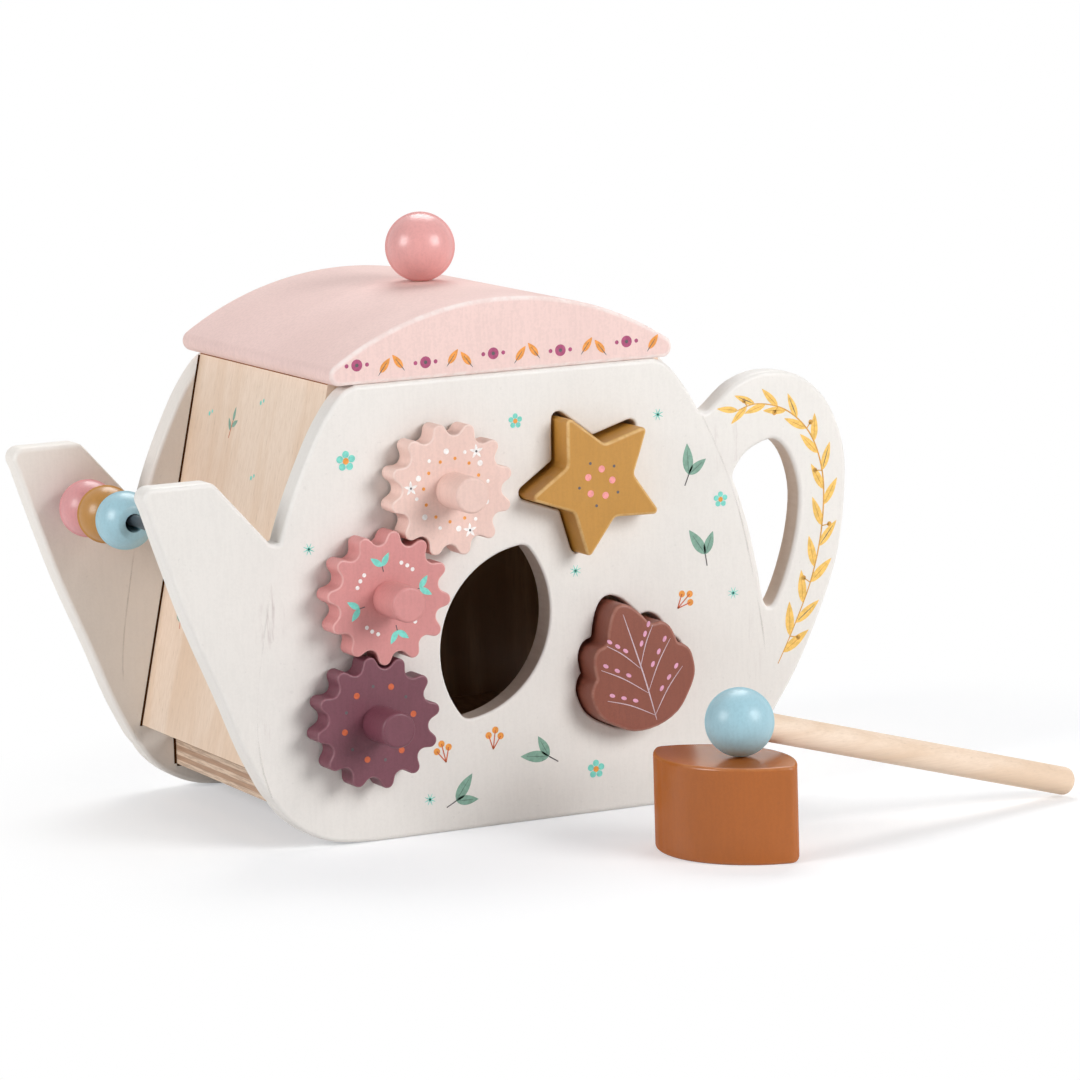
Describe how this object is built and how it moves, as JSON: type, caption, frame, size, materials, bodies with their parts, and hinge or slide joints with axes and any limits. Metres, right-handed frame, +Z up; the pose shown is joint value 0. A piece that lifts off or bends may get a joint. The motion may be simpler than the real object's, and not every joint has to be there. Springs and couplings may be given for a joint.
{
  "type": "wooden toy teapot",
  "caption": "Wooden activity teapot on flat side panels, with a lift-off lid, turning gears, posting shapes, sliding beads, chime bars and a mallet",
  "frame": {"origin": "middle of the front panel's foot, on the table", "axes": "X from the spout to the handle, Y from the gear side to the chime side, Z up"},
  "size_m": [0.3858, 0.307, 0.2532],
  "materials": {
    "cream_paint": "satin paint",
    "birch_board": "clear coat",
    "birch_plywood": "bare plywood",
    "beech": "bare",
    "stick_wood": "clear coat",
    "dark_rod": "dark paint",
    "peach_paint": "satin paint",
    "rose_paint": "satin paint",
    "plum_paint": "satin paint",
    "pale_pink_paint": "satin paint",
    "knob_rose_paint": "gloss paint",
    "mustard_paint": "satin paint",
    "chestnut_paint": "satin paint",
    "caramel_paint": "semi-gloss paint",
    "blue_paint": "gloss paint",
    "ochre_paint": "gloss paint",
    "pink_paint": "gloss paint",
    "bar_rose": "lacquered metal",
    "bar_mustard": "lacquered metal",
    "bar_blue": "lacquered metal",
    "bar_peach": "lacquered metal",
    "bar_plum": "lacquered metal",
    "steel_pins": "bright steel"
  },
  "bodies": {
    "teapot": {"front_body": "cream_paint", "front_spout": "cream_paint", "front_handle": "cream_paint", "back_body": "cream_paint", "back_spout": "cream_paint", "back_handle": "cream_paint", "spout_end_wall": "birch_board", "handle_end_wall": "birch_board", "base_board": "birch_plywood", "front_dowels": "beech", "back_dowels": "beech", "bead_rod": "dark_rod", "bar_1": "bar_rose", "bar_2": "bar_mustard", "bar_3": "bar_blue", "bar_4": "bar_peach", "bar_5": "bar_plum", "chime_rail_high": "beech", "chime_rail_low": "beech", "chime_pins": "steel_pins"},
    "top_gear": {"gear_top": "peach_paint", "grip_top": "peach_paint", "axle_top": "beech", "spacer_top": "beech", "retainer_top": "beech"},
    "middle_gear": {"gear_middle": "rose_paint", "grip_middle": "rose_paint", "axle_middle": "beech", "spacer_middle": "beech", "retainer_middle": "beech"},
    "bottom_gear": {"gear_bottom": "plum_paint", "grip_bottom": "plum_paint", "axle_bottom": "beech", "spacer_bottom": "beech", "retainer_bottom": "beech"},
    "lid": {"lid": "pale_pink_paint", "lid_locator": "beech", "lid_knob": "knob_rose_paint", "lid_dowel": "beech"},
    "star": {"star_piece": "mustard_paint"},
    "leaf": {"leaf_piece": "chestnut_paint"},
    "seed": {"seed_piece": "caramel_paint"},
    "mallet": {"mallet_ball": "blue_paint", "mallet_stick": "stick_wood"},
    "pink_bead": {"bead_pink": "pink_paint"},
    "ochre_bead": {"bead_ochre": "ochre_paint"},
    "blue_bead": {"bead_blue": "blue_paint"}
  },
  "joints": [
    {"name": "middle_gear_turn", "type": "hinge", "parent": "teapot", "child": "middle_gear", "pos_m": [-0.06344, -0.0136, 0.10442], "axis": [0, -1, 0], "continuous": true},
    {"name": "top_gear_turn", "type": "hinge", "parent": "teapot", "child": "top_gear", "pos_m": [-0.03332, -0.0136, 0.1468], "axis": [0, -1, 0], "continuous": true},
    {"name": "bottom_gear_turn", "type": "hinge", "parent": "teapot", "child": "bottom_gear", "pos_m": [-0.07014, -0.0136, 0.05285], "axis": [0, -1, 0], "continuous": true},
    {"name": "lid_lift", "type": "slide", "parent": "teapot", "child": "lid", "axis": [0, 0, 1], "range_m": [0, 0.12]},
    {"name": "star_push", "type": "slide", "parent": "teapot", "child": "star", "axis": [0, -1, 0], "range_m": [-0.03, 0.045]},
    {"name": "leaf_push", "type": "slide", "parent": "teapot", "child": "leaf", "axis": [0, -1, 0], "range_m": [-0.03, 0.045]},
    {"name": "seed_draw", "type": "slide", "parent": "teapot", "child": "seed", "axis": [0, -1, 0], "range_m": [0, 0.06]},
    {"name": "mallet_lift", "type": "slide", "parent": "teapot", "child": "mallet", "axis": [0, 0, 1], "range_m": [0, 0.12]},
    {"name": "pink_bead_slide", "type": "slide", "parent": "teapot", "child": "pink_bead", "axis": [0, -1, 0], "range_m": [0, 0.022]},
    {"name": "ochre_bead_slide", "type": "slide", "parent": "pink_bead", "child": "ochre_bead", "axis": [0, -1, 0], "range_m": [0, 0.022]},
    {"name": "blue_bead_slide", "type": "slide", "parent": "ochre_bead", "child": "blue_bead", "axis": [0, -1, 0], "range_m": [0, 0.022]}
  ],
  "couplings": [
    {"joint": "top_gear_turn", "follows": "middle_gear_turn", "ratio": -1},
    {"joint": "bottom_gear_turn", "follows": "middle_gear_turn", "ratio": -1}
  ]
}
